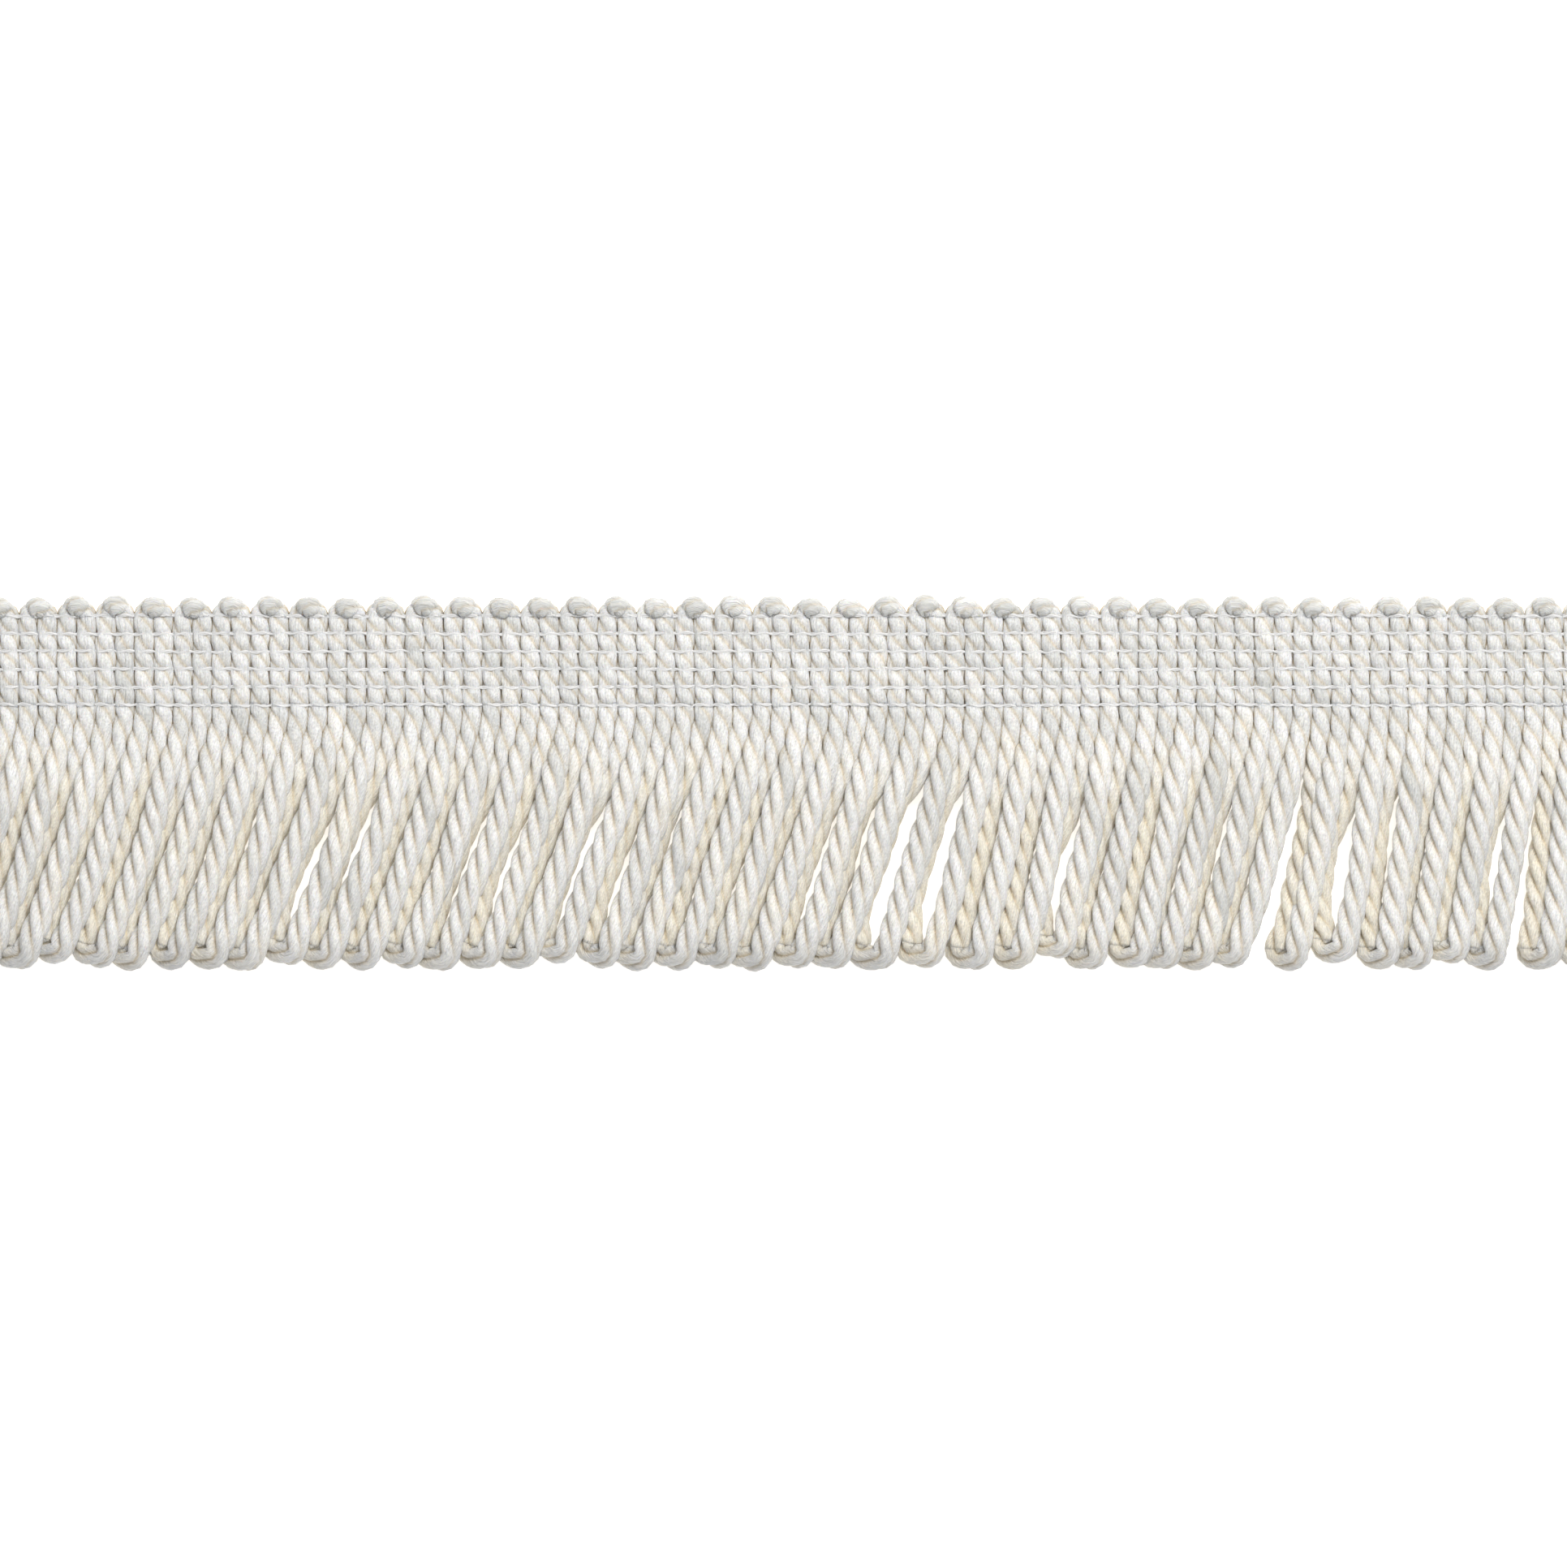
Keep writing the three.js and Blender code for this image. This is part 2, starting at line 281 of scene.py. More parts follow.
print("loop 20 ends", round(front_x(20, 0) - front_x(20, 1), 1), "mm left of its root")

# %% [markdown]
# A leg leaves the heading pressed and level, comes free within a third of its length, and settles at
# its own height: the back legs lie on the table and the front legs lie on them. The foot of the loop
# is a half circle made a little square and wide, because a soft cord sags into its turn.

# %% One loop as points
LOW = 1.75
HIGH = 2.75
SETTLED_BY = 0.34
FREE_BY = 0.3
LEG_POINTS = 120
# the heading takes a little of the knobs' painted grey shade
HEADING_CREAM = -0.18
CREAM_FROM = 0.05
CREAM_BY = 0.5
USUALLY_SHORTER = 0.15
SHORTER_PHASE = 2
TURN_HALF_WIDTH = 1.45
TURN_POINTS = 24
TURN_SLIMMER = 0.06
TURN_SIDE_POWER = 0.8
TURN_FOOT_POWER = 0.6
TURN_BELLY = 0.1
DROP_STARTS = 0.15
DROP_ENDS = 0.7
TURN_CREAM_FROM = 0.1
TURN_CREAM_BY = 0.9


def leg_points(x_at, loop, end_y, settled_level, cream_and_painted_shade):
    depth = np.linspace(0, 1, LEG_POINTS)
    return np.column_stack(
        (
            x_at(loop, depth),
            lerp(ROOT_Y, end_y, depth),
            lerp(HEADING_LEVEL, settled_level, smoothstep(0, SETTLED_BY, depth)),
            1 - smoothstep(0, FREE_BY, depth),
            lerp(HEADING_CREAM, cream_and_painted_shade, smoothstep(CREAM_FROM, CREAM_BY, depth)),
            np.ones(LEG_POINTS),
        )
    )


def turn_points(centre_x, centre_y, radius, slant):
    along = np.linspace(0, 1, TURN_POINTS + 2)[1:-1]
    across = np.cos(math.pi * along)
    down = np.sin(math.pi * along) ** TURN_FOOT_POWER
    across = np.sign(across) * np.abs(across) ** TURN_SIDE_POWER * (1 + TURN_BELLY * down)
    return np.column_stack(
        (
            centre_x + radius * (across * math.cos(slant) - down * math.sin(slant)),
            centre_y - radius * (across * math.sin(slant) + down * math.cos(slant)),
            lerp(HIGH, LOW, smoothstep(DROP_STARTS, DROP_ENDS, along)),
            np.zeros(TURN_POINTS),
            smoothstep(TURN_CREAM_FROM, TURN_CREAM_BY, along),
            1 - TURN_SLIMMER * np.sin(math.pi * along) ** 2,
        )
    )


def loop_points(loop):
    right, left = front_x(loop, 1), back_x(loop, 1)
    slant = math.atan(lean(loop) * LEAN_POWER / (ROOT_Y - BOTTOM))
    radius = (right - left) / 2 / math.cos(slant)
    shorter = SHORT_LOOPS.get(loop, USUALLY_SHORTER * (1 + uneven(loop, SHORTER_PHASE)))
    centre_y = BOTTOM + shorter + radius + TURN_HALF_WIDTH
    # the back leg is painted cream as warm shade for the lower layer; the front leg stays cool white
    back = leg_points(back_x, loop, centre_y + radius * math.sin(slant), LOW, 1.0)
    front = leg_points(front_x, loop, centre_y - radius * math.sin(slant), HIGH, 0.0)
    turn = turn_points((left + right) / 2, centre_y, radius, slant)
    return back, np.vstack((turn[::-1], front[::-1]))


print("one loop takes", sum(len(points) for points in loop_points(0)), "points")

# %% [markdown]
# In the heading the cord runs straight up a column and comes down the next one, and the turn between
# them is one of the round knobs on the top edge. A half circle would stand too wide, so the knob's
# path is a low half ellipse drawn in at the crown. The cord is a little slimmer there, most of all at
# the two shoulders, where it is bent hardest.

# %% The columns and the knobs
COLUMN_POINTS = 60
WOBBLE = 0.07
WOBBLE_RATE = 2.1
WOBBLE_SHIFT = 0.9
WOBBLE_GROWS_IN = 1.0
KNOB_POINTS = 24
KNOB_RISE = 0.85
RISE_UNEVEN = 0.12
RISE_PHASE = 3
KNOB_DRAWN_IN = 0.35
# below zero the cream value paints the knobs' grey shade
KNOB_CREAM = -0.6
KNOB_GREY_POWER = 1.5
KNOB_FORWARD = 0.5
FORWARD_POWER = 4
KNOB_FREE_POWER = 1.3
KNOB_SLIMMER = 0.16
SHOULDER = 0.24
SHOULDER_AT = 0.2
SHOULDER_REACH = 0.08


def column_x(column):
    return heading_low.x + (column + 0.5) * COLUMN_PITCH


def wobble(column, height):
    grown = smoothstep(ROOT_Y, ROOT_Y + WOBBLE_GROWS_IN, height)
    return WOBBLE * np.sin(WOBBLE_RATE * height + WOBBLE_SHIFT * column) * grown


def column_points(column):
    height = np.linspace(ROOT_Y, KNOB_BASE, COLUMN_POINTS)[1:-1]
    count = len(height)
    return np.column_stack(
        (
            column_x(column) + wobble(column, height),
            height,
            np.full(count, HEADING_LEVEL),
            np.ones(count),
            np.full(count, HEADING_CREAM),
            np.ones(count),
        )
    )


def knob_points(column):
    along = np.linspace(0, math.pi, KNOB_POINTS)
    middle = column_x(column) + COLUMN_PITCH / 2
    rise = KNOB_RISE + RISE_UNEVEN * uneven(column, RISE_PHASE)
    from_crown = np.abs(along / math.pi - 0.5)
    shoulders = np.exp(-(((0.5 - SHOULDER_AT - from_crown) / SHOULDER_REACH) ** 2))
    return np.column_stack(
        (
            middle - COLUMN_PITCH / 2 * np.cos(along) * (1 - KNOB_DRAWN_IN * np.sin(along)),
            KNOB_BASE + rise * np.sin(along),
            HEADING_LEVEL + KNOB_FORWARD * np.sin(along) ** FORWARD_POWER,
            1 - np.sin(along) ** KNOB_FREE_POWER,
            lerp(HEADING_CREAM, KNOB_CREAM, np.sin(along) ** KNOB_GREY_POWER),
            1 - KNOB_SLIMMER * np.sin(along) ** 2 - SHOULDER * shoulders,
        )
    )


print("knobs rise", KNOB_RISE, "mm above y =", round(KNOB_BASE, 2), "mm")

# %% [markdown]
# Stringing the stretches together gives uneven spacing, so each stretch is walked again in even
# steps, small in the heading where the cord turns tightly and longer in the skirt. The part under the
# lowest thread belongs to the loops, so the columns' points there are handed over to the legs.

# %% One path for the whole cord
ROW_ABOVE_FOOT = 0.22
LOWEST_ROW = heading_low.y + ROW_ABOVE_FOOT
SKIRT_STEP = 0.42
HEADING_STEP = 0.24
CUT_END = 0.6
NEARLY_CLOSED = 0.02


def walk(points, step):
    lengths = np.linalg.norm(np.diff(points[:, :3], axis=0), axis=1)
    at = np.concatenate(([0], np.cumsum(lengths)))
    even = np.linspace(0, at[-1], round(at[-1] / step) + 1)
    return np.column_stack([np.interp(even, at, column) for column in points.T])


stretches = [("falling", walk(column_points(0)[::-1], HEADING_STEP))]
for loop in range(LOOPS):
    back, front = loop_points(loop)
    stretches.append(("back", walk(back, SKIRT_STEP)))
    stretches.append(("front", walk(front, SKIRT_STEP)))
    column_up, column_down = 2 * loop + 1, 2 * loop + 2
    rising = column_points(column_up)
    if loop < LOOPS - 1:
        rising = np.vstack((rising, knob_points(column_up)))
        stretches.append(("rising", walk(rising, HEADING_STEP)))
        stretches.append(("falling", walk(column_points(column_down)[::-1], HEADING_STEP)))
stretches.append(("rising", walk(rising, HEADING_STEP)))

path = np.vstack([points for _, points in stretches])
part_of = np.concatenate([[name] * len(points) for name, points in stretches])
under_thread = path[:, 1] < LOWEST_ROW
part_of[under_thread & (part_of == "rising")] = "front"
part_of[under_thread & (part_of == "falling")] = "back"
steps = np.linalg.norm(np.diff(path[:, :3], axis=0), axis=1)
travelled = np.concatenate(([0], np.cumsum(steps)))
from_end = np.minimum(travelled, travelled[-1] - travelled)
path[:, 5] *= np.sqrt(np.clip(from_end / CUT_END, NEARLY_CLOSED, 1))
print("the cord is", round(travelled[-1] / 1000, 2), "m long in", len(path), "steps")

# %% [markdown]
# The cord is four plies wound round each other, and the leaf shapes that they make are what the eye
# sees first. Four tubes twisted together would hide half of their faces inside the cord. So the cord
# is one tube whose section has four round lobes. The places where two lobes meet are noted, because
# they get a painted tan shade later, in place of the shadow in the grooves.

# %% The four lobes of the section
PLIES = 4
PLY_OFFSET = 0.79
PLY_RADIUS = 0.63
SIDES_A_PLY = 7
MEETING_FROM = 0.6

half_ply = math.pi / PLIES
local = (2 * np.arange(SIDES_A_PLY) / SIDES_A_PLY - 1) * half_ply
lobe = PLY_OFFSET * np.cos(local) + np.sqrt(PLY_RADIUS**2 - (PLY_OFFSET * np.sin(local)) ** 2)
section_radius = np.tile(lobe, PLIES)
section_angle = np.concatenate([local + 2 * half_ply * ply for ply in range(PLIES)])
# where two lobes meet, for the painted tan shade in the grooves
meeting = np.tile(smoothstep(MEETING_FROM, 1.0, np.abs(local) / half_ply), PLIES)
ply_number = np.repeat(np.arange(PLIES), SIDES_A_PLY)
print("the cord is", round(2 * lobe.max(), 2), "mm over its lobes")
print("and", round(2 * lobe.min(), 2), "mm in its grooves")

# %% [markdown]
# The twist. The section turns once in every lay, the length that one ply takes to go round. Silky
# cord is never twisted quite evenly, so slow waves push the turning forward and back, and the free
# legs wander a little from their path. At a knob the cord is bent hard and its twist bunches up.

# %% The twist along the path
LAY = 10.4
HEADING_LAY = 10.5
KNOB_LAY = 4.5
UNEVEN_TWIST = [
    {"turned": 0.9, "wave": 31.0},
    {"turned": 0.5, "wave": 13.7},
]
WANDER = 0.13
WANDER_WAVE = 2.3
WANDER_SWELL = 9.1

pressed = path[:, 3:4]
at_knob = smoothstep(HEADING_CREAM, KNOB_CREAM, path[:, 4])
wander = np.sin(travelled / WANDER_WAVE) * np.sin(travelled / WANDER_SWELL + 1)
path[:, 0] += WANDER * wander * (1 - path[:, 3]) * (1 - at_knob)
tangent = np.gradient(path[:, :3], axis=0)
tangent /= np.linalg.norm(tangent, axis=1, keepdims=True)
up = np.array((0.0, 0.0, 1.0)) - tangent * tangent[:, 2:3]
up /= np.linalg.norm(up, axis=1, keepdims=True)
side = np.cross(up, tangent)
lay = lerp(lerp(LAY, HEADING_LAY, path[:, 3]), KNOB_LAY, at_knob)
turned = np.concatenate(([0], np.cumsum(2 * math.pi * steps / lay[1:])))
for row in UNEVEN_TWIST:
    turned += row["turned"] * np.sin(travelled / row["wave"])
print("turns of twist:", round(turned[-1] / (2 * math.pi)))

# %% [markdown]
# How the section changes along the cord. In the heading the neighbours press it into a narrow column
# and the rows of thread pinch it. A tanh does the pressing: it leaves the middle of the section alone
# and holds back its sides. Pressing also flattens the lobes, and so does lying against the next loop,
# so a leg's leaves stand out at its left and fade to its right.

# %% Pressing and pinching
ROWS_OF_THREAD = 6
TOP_ROW_BELOW_KNOB = 0.05
PINCH_REACH = 0.42
PINCHED_FLAT = 0.2
PINCHED_NARROW = 0.03
HALF_COLUMN = 1.1
FULLER_IN_HEADING = 0.5
WIDER_BELOW = 0.05
WIDEST_AT = -0.8
HALF_THICKNESS = 1.6
FLATTER_PRESSED = 0.25
FLATTER_IN_KNOB = 0.5
FLATTER_ON_RIGHT = 0.62
RIGHT_FROM = -0.3
RIGHT_BY = 0.8
FLATTENED_RADIUS = 1.24

row_pitch = (KNOB_BASE - TOP_ROW_BELOW_KNOB - LOWEST_ROW) / (ROWS_OF_THREAD - 1)
rows_y = LOWEST_ROW + row_pitch * np.arange(ROWS_OF_THREAD)


def pinch(y):
    return sum(np.exp(-(((y - row) / PINCH_REACH) ** 2)) for row in rows_y)


def flattening(angle):
    to_right = side[:, :1] * np.sin(angle) + up[:, :1] * np.cos(angle)
    on_right = FLATTER_ON_RIGHT * smoothstep(RIGHT_FROM, RIGHT_BY, to_right) * (1 - pressed)
    packed = np.maximum(FLATTER_PRESSED * pressed, FLATTER_IN_KNOB * at_knob[:, None])
    return np.maximum(packed, on_right)


def squeezed(beside, over):
    tight = pinch(path[:, 1])[:, None] * pressed
    held = HALF_COLUMN * np.tanh(beside * (1 + FULLER_IN_HEADING) / HALF_COLUMN)
    held = held * (1 - PINCHED_NARROW * tight) * (1 + WIDER_BELOW * smoothstep(0, WIDEST_AT, over))
    flat = HALF_THICKNESS * np.tanh(over / HALF_THICKNESS) * (1 - PINCHED_FLAT * tight)
    return lerp(beside, held, pressed), lerp(over, flat, pressed)


print("rows of thread every", round(row_pitch, 2), "mm")

# %% [markdown]
# The cord becomes rings of points, one ring at each step of the path. A ply never has quite the same
# fullness or tone from one leaf to the next, so a small seeded table gives every leaf its own. Where
# plies or columns meet, and deep down between the loops, the cord gets a painted tan shade in place of
# the shadow there, and its feet get a painted grey shade. Each point carries those values, so that the
# finish can follow them.

# %% The cord as rings of points
FULLNESS_UNEVEN = 0.06
FULLNESS_WAVE = 2.7
FULLNESS_SWELL = 7.3
TABLE_CLEARANCE = 0.02
LEAF_SEED = 11
LEAF_TONE = 0.022
LEAF_CREAM = 0.15
# painted tan shade between columns, low down between the loops and between plies, in place of the shadow
# there
SIDE_FROM = 0.93
SIDE_BY = 1.04
DEEP_FROM = 1.5
DEEP_BY = 0.2
SHADE_BETWEEN_PLIES = 0.55
SHADE_DEEP = 0.85
# the feet are painted greyer towards the bottom, as shade on the lower sides of the turns
FOOT_HEIGHT = 4.2
FOOT_FULL_BELOW = 1.0
FOOT_PAINTED_SHADE = 0.24


def leaf_numbers(angle):
    first = int(turned.min() // (2 * math.pi)) - 1
    leaf = np.floor(angle / (2 * math.pi) + 0.5).astype(int) - first
    table = np.random.default_rng(LEAF_SEED).normal(size=(leaf.max() + 1, PLIES))
    return table[leaf, ply_number[None, :]]


# painted shade: tan in the grooves, the slits and low down, in place of the shadow that falls there
def painted_shade_of(beside, height, flatter):
    painted_shade_between_plies = SHADE_BETWEEN_PLIES * meeting[None, :] * (1 - flatter)
    painted_shade_between_columns = smoothstep(SIDE_FROM, SIDE_BY, np.abs(beside)) * pressed
    painted_shade_low_down = SHADE_DEEP * smoothstep(DEEP_FROM, DEEP_BY, height) * (1 - pressed)
    return np.maximum(np.maximum(painted_shade_between_plies, painted_shade_between_columns), painted_shade_low_down)


def cord_rings():
    angle = turned[:, None] + section_angle[None, :]
    flatter = flattening(angle)
    swell = np.sin(travelled / FULLNESS_WAVE) * np.sin(travelled / FULLNESS_SWELL)
    fullness = path[:, 5:6] * (1 + FULLNESS_UNEVEN * swell[:, None])
    radius = fullness * lerp(section_radius[None, :], FLATTENED_RADIUS, flatter)
    beside, over = squeezed(radius * np.sin(angle), radius * np.cos(angle))
    rings = path[:, None, :3] + side[:, None] * beside[..., None] + up[:, None] * over[..., None]
    rings[..., 2] = np.maximum(rings[..., 2], TABLE_CLEARANCE)
    along = np.broadcast_to(travelled[:, None], angle.shape)
    fibre = np.stack((np.cos(angle), np.sin(angle), along), axis=2)
    numbers = leaf_numbers(angle)
    # painted warm and grey shade from the path, plus each leaf's own cream
    cream_and_painted_shade = path[:, 4:5] + LEAF_CREAM * numbers
    # painted grey shade at the feet; the seeded leaf tone is the cord's own
    foot_shade = smoothstep(FOOT_HEIGHT, FOOT_FULL_BELOW, path[:, 1:2] - BOTTOM)
    tone_and_foot_shade = 1 + LEAF_TONE * numbers - FOOT_PAINTED_SHADE * foot_shade
    return rings, fibre, painted_shade_of(beside, rings[..., 2], flatter), cream_and_painted_shade, tone_and_foot_shade


cord = cord_rings()
print("rings of", cord[0].shape[1], "points:", cord[0].shape[0])

# %% [markdown]
# Turning rings into a mesh. Every tube of the trim is made by one helper: it joins ring to ring with
# four-sided faces, closes both ends, and stores four values on each point for the finish to read:
# where the point is on its bundle of fibres, its painted tan shade, its cream (partly painted warm and
# grey shade) and its brightness (its own tone less the painted shade of the feet). The two
# ends are left flat, or their shading would bend the smooth faces beside them.

# %% A mesh from rings
def tube_faces(count, sides, start):
    ring = np.arange(count - 1)[:, None] * sides
    corner = np.arange(sides)[None, :]
    following = (corner + 1) % sides
    around = (ring + corner, ring + following, ring + sides + following, ring + sides + corner)
    faces = (np.stack(around, axis=2).reshape(-1, 4) + start).tolist()
    faces.append([start + k for k in reversed(range(sides))])
    faces.append([start + (count - 1) * sides + k for k in range(sides)])
    return faces


def tubes(name, runs, material):
    points, faces = [], []
    stored = {"fibre": [], "painted_shade": [], "cream_and_painted_shade": [], "tone_and_foot_shade": []}
    start = 0
    for rings, *values in runs:
        count, sides = rings.shape[:2]
        faces.extend(tube_faces(count, sides, start))
        points.append(rings.reshape(-1, 3))
        for key, value in zip(stored, values):
            flat = np.ascontiguousarray(value, dtype=np.float32).reshape(count * sides, -1)
            stored[key].append(flat)
        start += count * sides
    mesh = bpy.data.meshes.new(name)
    mesh.from_pydata((np.vstack(points) * MM).tolist(), [], faces)
    for key, values in stored.items():
        kind, field = ("FLOAT_VECTOR", "vector") if key == "fibre" else ("FLOAT", "value")
        layer = mesh.attributes.new(key, kind, "POINT")
        layer.data.foreach_set(field, np.vstack(values).ravel())
    mesh.polygons.foreach_set("use_smooth", [len(face) == 4 for face in faces])
    mesh.materials.append(material)
    piece = bpy.data.objects.new(name, mesh)
    bpy.context.collection.objects.link(piece)
    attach(piece, "root")
    mesh.calc_loop_triangles()
    print(name, len(mesh.loop_triangles), "triangles")
    return piece


def runs_of(part):
    edges = np.flatnonzero(np.diff(part_of == part))
    for rows in np.split(np.arange(len(path)), edges + 1):
        if part_of[rows[0]] == part:
            last = min(rows[-1] + 2, len(path))
            yield tuple(value[rows[0] : last] for value in cord)


# %% [markdown]
# Nodes. A material is a small network, and wiring it line by line hides what it does. This helper
# keeps the network of one material and gives plain names to the few things that a fibre finish
# needs: a stored value, a stretched noise, a change of range, a blend, a weighted sum and a relief.

# %% Nodes of a fibre finish
NOISE_LOW = 0.3
NOISE_HIGH = 0.7


class Finish:
    def __init__(self, name):
        self.material = bpy.data.materials.new(name)
        self.material.use_nodes = True
        self.tree = self.material.node_tree
        self.shader = self.tree.nodes["Principled BSDF"]

    def fill(self, socket, value):
        if isinstance(value, bpy.types.NodeSocket):
            self.tree.links.new(value, socket)
        else:
            socket.default_value = value

    def add(self, kind, inputs=(), **settings):
        node = self.tree.nodes.new(kind)
        for key, value in settings.items():
            setattr(node, key, value)
        for key, value in dict(inputs).items():
            self.fill(node.inputs[key], value)
        return node

    def stored(self, name, output="Fac"):
        return self.add("ShaderNodeAttribute", attribute_name=name).outputs[output]

    def noise(self, where, stretch, detail):
        scaled = self.add("ShaderNodeVectorMath", {0: where, 1: stretch}, operation="MULTIPLY")
        inputs = {"Vector": scaled.outputs[0], "Scale": 1.0, "Detail": detail}
        return self.add("ShaderNodeTexNoise", inputs).outputs["Fac"]

    def ranged(self, value, low, high, to_low=0.0, to_high=1.0):
        inputs = {"Value": value, "From Min": low, "From Max": high, "To Min": to_low, "To Max": to_high}
        return self.add("ShaderNodeMapRange", inputs).outputs["Result"]

    def spread(self, noise, to_low=0.0, to_high=1.0):
        return self.ranged(noise, NOISE_LOW, NOISE_HIGH, to_low, to_high)

    def blend(self, part, a, b, kind="MIX"):
        settings = {"data_type": "RGBA", "blend_type": kind}
        return self.add("ShaderNodeMix", {0: part, 6: a, 7: b}, **settings).outputs[2]

    def sum_of(self, a, b, weight):
        inputs = {0: b, 1: weight, 2: a}
        return self.add("ShaderNodeMath", inputs, operation="MULTIPLY_ADD").outputs[0]

    def product(self, a, b):
        return self.add("ShaderNodeMath", {0: a, 1: b}, operation="MULTIPLY").outputs[0]

    def relief(self, height, depth):
        bump = self.add("ShaderNodeBump", {"Height": height, "Distance": depth * MM, "Strength": 1.0})
        self.tree.links.new(bump.outputs["Normal"], self.shader.inputs["Normal"])

    def set(self, **values):
        for key, value in values.items():
            name = key.replace("_", " ").title().replace("Ior", "IOR")
            self.fill(self.shader.inputs[name], value)


# %% [markdown]
# The finish of the cord. Silk-like cord is a bundle of bright parallel fibres. A photograph of it would
# be the quick way, but the finish has to work at any size and from any side, so it is made of noise
# stretched along the fibres: a fine one for single fibres, a broad one for small bundles, short
# glints where a fibre catches the light, which also brighten the colour as painted glints, and a
# cloudy one for the change from cool white to cream.
# The grooves between the plies get a painted tan shade. A little light passes through the fibres, which
# is what makes silk look soft, and the sheen brightens the edges.

# %% The silk finish
COOL_WHITE = (0.92, 0.918, 0.905, 1)
CREAM = (0.925, 0.87, 0.75, 1)
KNOB_PAINTED_SHADE_GREY = (0.765, 0.77, 0.75, 1)
# the tan of the painted shade in grooves, slits and low hollows
PAINTED_SHADE_TAN = (0.72, 0.54, 0.25, 1)
FIBRES = (11.0, 11.0, 0.8)
BUNDLES = (4.0, 4.0, 0.3)
CLOUDS = (0.5, 0.5, 0.28)
GLINTS = (10.0, 10.0, 3.5)
CLOUD_CREAM = 0.24
DARKEST_FIBRE = 0.8
PAINTED_GLINT_TONE = 0.13
BUNDLE_RELIEF = 1.5
GLINT_RELIEF = 0.35
RELIEF_DEPTH = 0.14
DULL = 0.6
SHINY = 0.4
LIGHT_PASSES = 0.8


def silk_colour(finish, fine, clouds, glints):
    # cream here is painted warm shade on the back legs, plus the cord's own cloudy cream
    cream_and_painted_shade = finish.stored("cream_and_painted_shade")
    clouded = finish.sum_of(cream_and_painted_shade, finish.spread(clouds, -CLOUD_CREAM, CLOUD_CREAM), 1.0)
    colour = finish.blend(finish.ranged(clouded, 0.0, 1.0), COOL_WHITE, CREAM)
    # paints the grey shade of the knobs and, a little, of the heading
    colour = finish.blend(finish.ranged(cream_and_painted_shade, 0.0, KNOB_CREAM), colour, KNOB_PAINTED_SHADE_GREY)
    # paints the tan shade in
    colour = finish.blend(finish.stored("painted_shade"), colour, PAINTED_SHADE_TAN)
    streak = finish.spread(fine, DARKEST_FIBRE, 1.0)
    # painted glints: bright specks in the colour where fibres catch the light
    streak = finish.sum_of(streak, finish.spread(glints, -PAINTED_GLINT_TONE, PAINTED_GLINT_TONE), 1.0)
    # brightness: each leaf's own tone, less the painted shade of the feet
    streak = finish.product(streak, finish.stored("tone_and_foot_shade"))
    grey = finish.add("ShaderNodeCombineColor", {0: streak, 1: streak, 2: streak}).outputs[0]
    return finish.blend(1.0, colour, grey, "MULTIPLY")


def silk():
    finish = Finish("silky_cord")
    fibre = finish.stored("fibre", "Vector")
    fine = finish.noise(fibre, FIBRES, 4.0)
    bundles = finish.noise(fibre, BUNDLES, 2.0)
    clouds = finish.noise(fibre, CLOUDS, 2.0)
    glints = finish.noise(fibre, GLINTS, 2.0)
    height = finish.sum_of(finish.sum_of(fine, bundles, BUNDLE_RELIEF), glints, GLINT_RELIEF)
    finish.relief(height, RELIEF_DEPTH)
    finish.set(base_color=silk_colour(finish, fine, clouds, glints))
    finish.set(roughness=finish.spread(glints, DULL, SHINY))
    finish.set(sheen_weight=0.25, sheen_roughness=0.4, specular_ior_level=0.32)
    finish.set(subsurface_weight=0.4, subsurface_radius=(1.0, 0.85, 0.6))
    finish.set(subsurface_scale=LIGHT_PASSES * MM)
    return finish.material


silky_cord = silk()
print("silk finish:", len(silky_cord.node_tree.nodes), "nodes")

# %% [markdown]
# Now the cord itself, in four pieces. The heading and the loops stand for separate solids, and a mesh
# is easier to handle in parts, so the columns where the cord rises and those where it falls are
# apart, and so are the front legs, with their turns, and the back legs. A piece runs one ring into
# the next one, and no gap shows.

# %% The heading and the loops
rising = tubes("heading_rising_columns", runs_of("rising"), silky_cord)
falling = tubes("heading_falling_columns", runs_of("falling"), silky_cord)
front_legs = tubes("front_legs", runs_of("front"), silky_cord)
back_legs = tubes("back_legs", runs_of("back"), silky_cord)
for piece in (rising, falling):
    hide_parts("heading")
for piece in (front_legs, back_legs):
    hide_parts("loop_fringe")

# %% [markdown]
# Six rows of fine clear thread hold the columns. Each row has two strands over the face, the second
# one thinner, and one under the back. A straight thread would hover over the dips between columns, so
# each strand arches over every column and sinks between them.

# %% The binding threads
THREAD_WIDTH = 0.27
THREAD_THICKNESS = 0.17
SECOND_STRAND_THINNER = 0.6
THREAD_SIDES = 6
STEPS_A_COLUMN = 8
THREAD_OVERHANG = 0.25
THREAD_TIP = 0.1
ARCH_TOP = 0.85
ARCH_FOOT = 0.62
ARCH_ROUNDNESS = 0.8
WEAVE = 0.1
DRIFT = 0.07
DRIFT_WAVE = 3.1
DRIFT_BY_ROW = 2.1
SEED_BY_STRAND = 10
SPREAD_ROUND = 0.2


def thread_path(row, strand, count):
    face = 1 if strand < 2 else -1
    ends = heading_low.x - THREAD_OVERHANG, heading_high.x + THREAD_OVERHANG
    x = np.linspace(*ends, count)
    column = (x - heading_low.x) / COLUMN_PITCH
    half_later = 0.5 if strand == 1 else 0.0
    y = rows_y[row] + WEAVE * np.sin(2 * math.pi * (column + half_later) + row)
    y = y + DRIFT * np.sin(column / DRIFT_WAVE + DRIFT_BY_ROW * row)
    arch = np.abs(np.sin(math.pi * column)) ** ARCH_ROUNDNESS
    return np.column_stack((x, y, HEADING_LEVEL + face * lerp(ARCH_FOOT, ARCH_TOP, arch)))


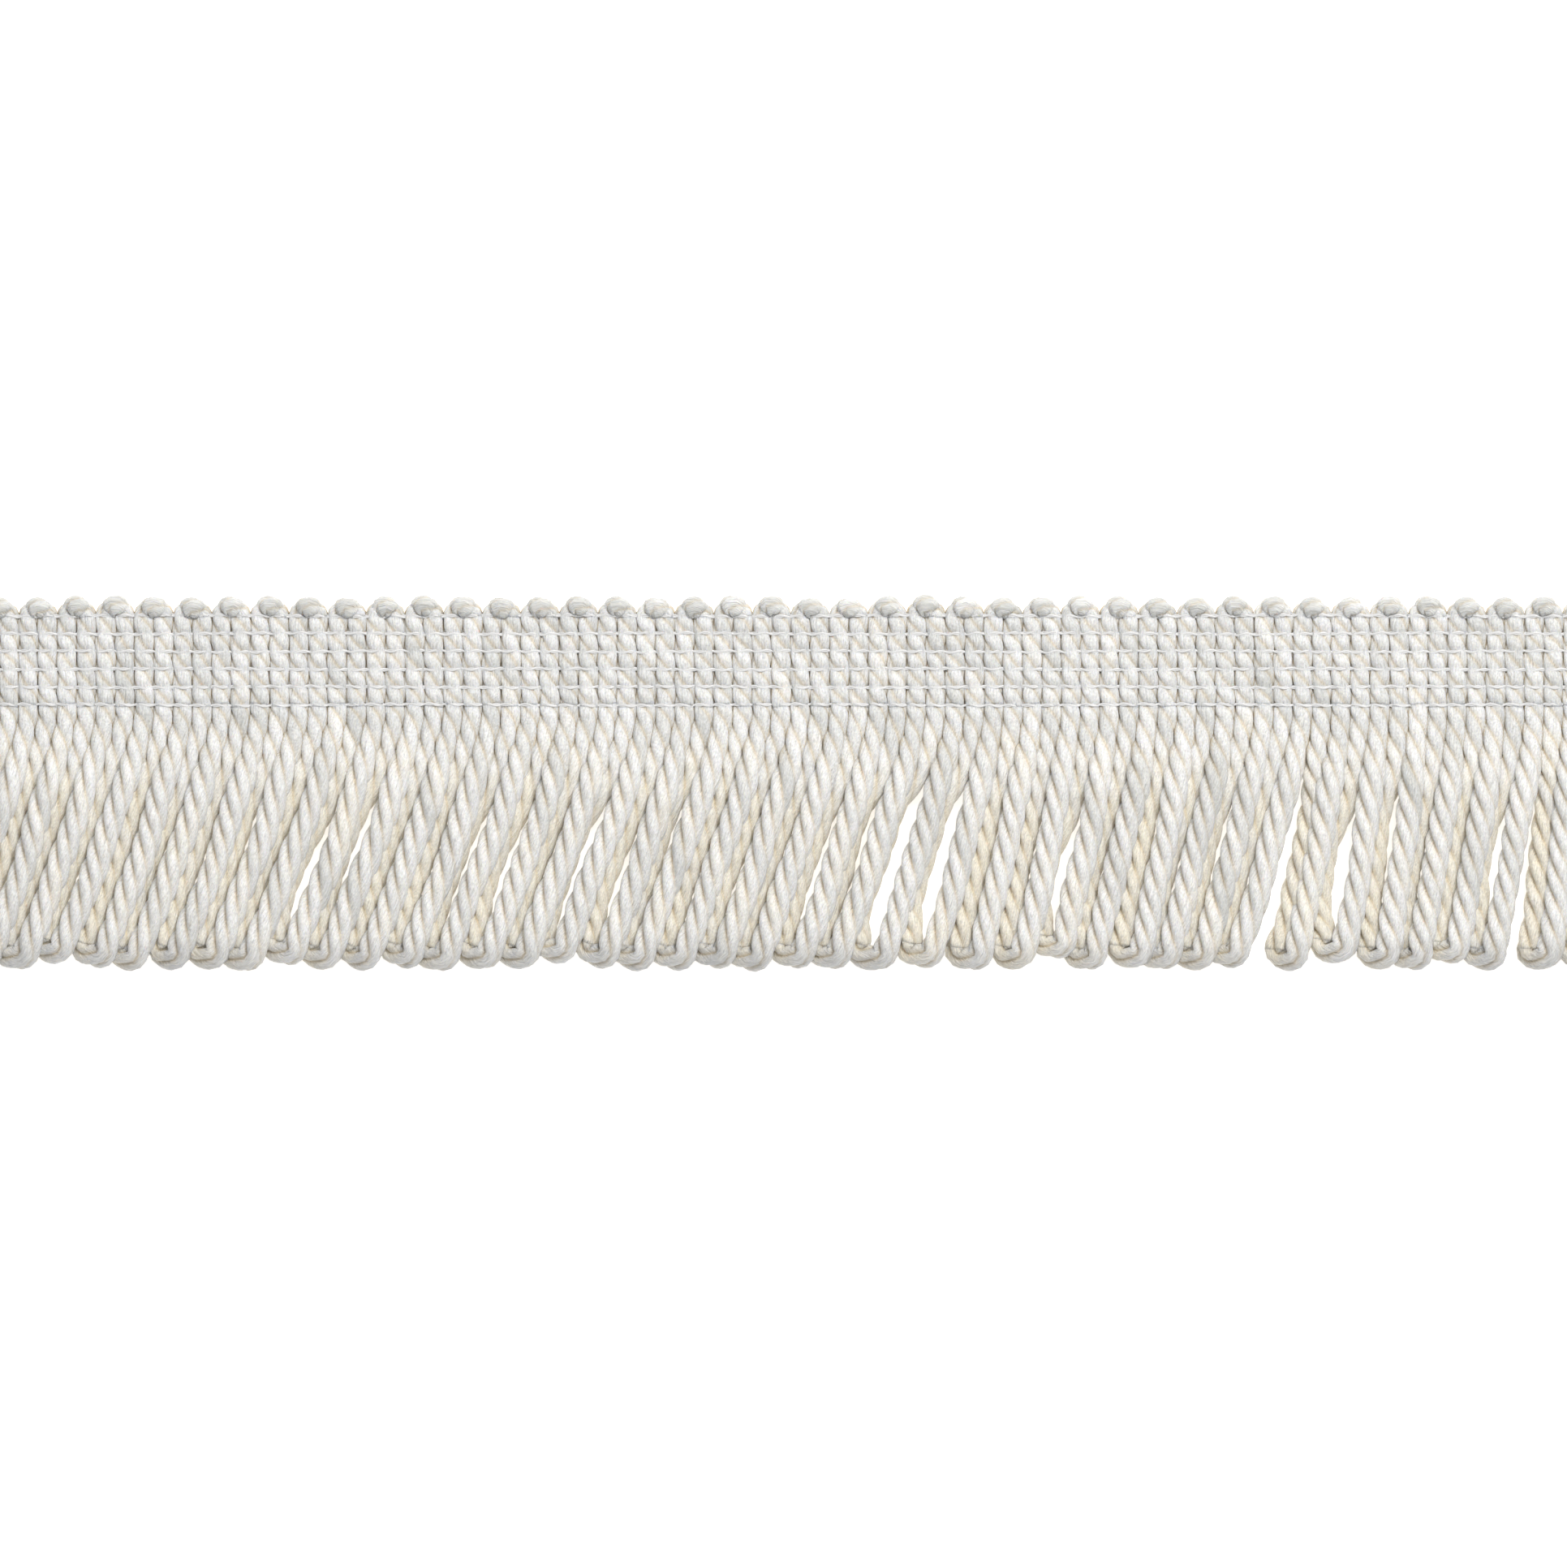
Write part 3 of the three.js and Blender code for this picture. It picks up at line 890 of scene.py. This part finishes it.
def thread_run(row, strand):
    count = 2 * LOOPS * STEPS_A_COLUMN + 1
    centre = thread_path(row, strand, count)
    forward = np.gradient(centre, axis=0)
    forward /= np.linalg.norm(forward, axis=1, keepdims=True)
    level = np.array((0.0, 1.0, 0.0)) - forward * forward[:, 1:2]
    level /= np.linalg.norm(level, axis=1, keepdims=True)
    above = np.cross(forward, level)
    round_it = np.linspace(0, 2 * math.pi, THREAD_SIDES, endpoint=False)
    from_tip = np.minimum(np.arange(count), np.arange(count)[::-1])
    thin = (SECOND_STRAND_THINNER if strand == 1 else 1.0) * np.clip(from_tip, THREAD_TIP, 1)
    thin = thin[:, None, None]
    wide = (level[:, None] * np.cos(round_it)[None, :, None]) * THREAD_WIDTH / 2 * thin
    tall = (above[:, None] * np.sin(round_it)[None, :, None]) * THREAD_THICKNESS / 2 * thin
    rings = centre[:, None] + wide + tall
    along = np.broadcast_to(centre[:, :1], rings.shape[:2])
    seed = np.full_like(along, row + SEED_BY_STRAND * strand)
    fibre = np.stack((seed, np.broadcast_to(round_it * SPREAD_ROUND, along.shape), along), axis=2)
    return rings, fibre, np.zeros(along.shape), np.zeros(along.shape), np.ones(along.shape)


print("threads:", ROWS_OF_THREAD, "rows of 3 strands")

# %% [markdown]
# The thread is thin, clear and a bit shiny, so that the cord's own colour shows through it. Fully
# clear glass would vanish on a white trim and is slow to render, so the finish is mostly a pale body
# with some light let through, and noise along the thread makes it whiter and duller in places.

# %% The clear finish of the threads
THREAD_FIBRES = (1.0, 14.0, 1.1)
THREAD_GREY = (0.84, 0.84, 0.83, 1)
THREAD_WHITE = (0.96, 0.96, 0.96, 1)
THREAD_DULL = 0.32
THREAD_SHINY = 0.2
THREAD_RELIEF = 0.03


def clear_thread():
    finish = Finish("clear_thread")
    strands = finish.noise(finish.stored("fibre", "Vector"), THREAD_FIBRES, 2.0)
    finish.relief(strands, THREAD_RELIEF)
    finish.set(base_color=finish.blend(finish.spread(strands), THREAD_GREY, THREAD_WHITE))
    finish.set(roughness=finish.spread(strands, THREAD_DULL, THREAD_SHINY))
    finish.set(specular_ior_level=0.7, transmission_weight=0.18, sheen_weight=0.1)
    return finish.material


runs = [thread_run(row, strand) for row in range(ROWS_OF_THREAD) for strand in range(3)]
threads = tubes("binding_threads", runs, clear_thread())
